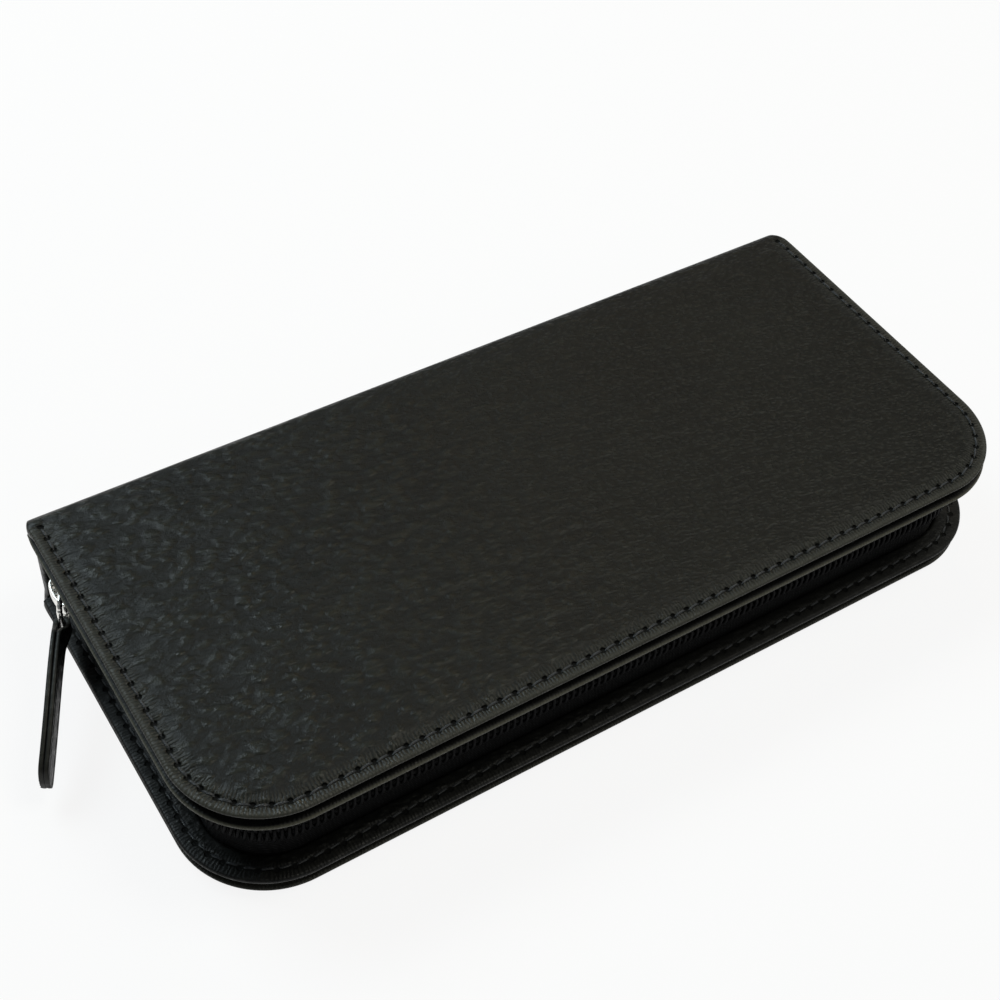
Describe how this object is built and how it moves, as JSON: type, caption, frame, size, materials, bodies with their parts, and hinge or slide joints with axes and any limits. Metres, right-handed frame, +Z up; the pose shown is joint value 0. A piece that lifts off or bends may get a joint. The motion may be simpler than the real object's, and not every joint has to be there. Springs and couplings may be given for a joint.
{
  "type": "fountain pen case",
  "caption": "Slim zip-round leather case that folds open flat at its spine, with elastic loops for pens, a lid pocket and a leather zip pull.",
  "frame": {"origin": "centre of the flat underside, midway along the length and between front and spine", "axes": "+X along the length away from the closed zip's slider, -Y towards the long zipped side, +Z up"},
  "size_m": [0.1961, 0.0816, 0.026],
  "materials": {
    "leather": "pebbled, semi-gloss",
    "trim_leather": "smooth",
    "thread": "waxed thread",
    "board": "raw board",
    "foam": "thin foam",
    "lining": "suede cloth",
    "zip_tape": "woven tape",
    "zip_coil": "nylon coil",
    "elastic": "ribbed elastic",
    "metal": "bright nickel"
  },
  "bodies": {
    "base": {"bottom_cover": "leather", "bottom_padding": "foam", "bottom_board": "board", "bottom_rim_facing": "trim_leather", "bottom_lining": "lining", "bottom_rim_stitching": "thread", "lower_zip_tape": "zip_tape", "lower_zip_coil": "zip_coil", "lower_top_stop": "metal", "zip_bottom_stop": "metal", "pen_band_left": "elastic", "pen_band_right": "elastic", "band_stitching": "thread"},
    "spine": {"spine_cover": "leather", "spine_board": "board", "spine_lining": "lining"},
    "lid": {"top_cover": "leather", "top_padding": "foam", "top_board": "board", "top_rim_facing": "trim_leather", "top_lining": "lining", "top_rim_stitching": "thread", "upper_zip_tape": "zip_tape", "upper_zip_coil": "zip_coil", "upper_top_stop": "metal", "slip_pocket": "lining", "pocket_stitching": "thread"},
    "slider": {"slider_body": "metal", "slider_crown": "metal"},
    "ring": {"pull_ring": "metal"},
    "strap": {"pull_strap": "trim_leather", "pull_stitching": "thread"}
  },
  "joints": [
    {"name": "spine_fold", "type": "hinge", "parent": "base", "child": "spine", "pos_m": [0, 0.03987, 0.00148], "axis": [-1, 0, 0], "range_deg": [0, 90]},
    {"name": "cover_fold", "type": "hinge", "parent": "spine", "child": "lid", "pos_m": [0, 0.03987, 0.02452], "axis": [-1, 0, 0], "range_deg": [0, 90]},
    {"name": "slider_run", "type": "slide", "parent": "base", "child": "slider", "axis": [0, -1, 0], "range_m": [0, 0.046]},
    {"name": "ring_swing", "type": "hinge", "parent": "slider", "child": "ring", "pos_m": [-0.08825, 0.0275, 0.013], "axis": [0, 0, 1], "range_deg": [-65, 10]},
    {"name": "strap_swing", "type": "hinge", "parent": "ring", "child": "strap", "pos_m": [-0.09031, 0.02384, 0.013], "axis": [0, 0, 1], "range_deg": [-60, 10]}
  ],
  "couplings": [
    {"joint": "cover_fold", "follows": "spine_fold", "ratio": 1}
  ]
}
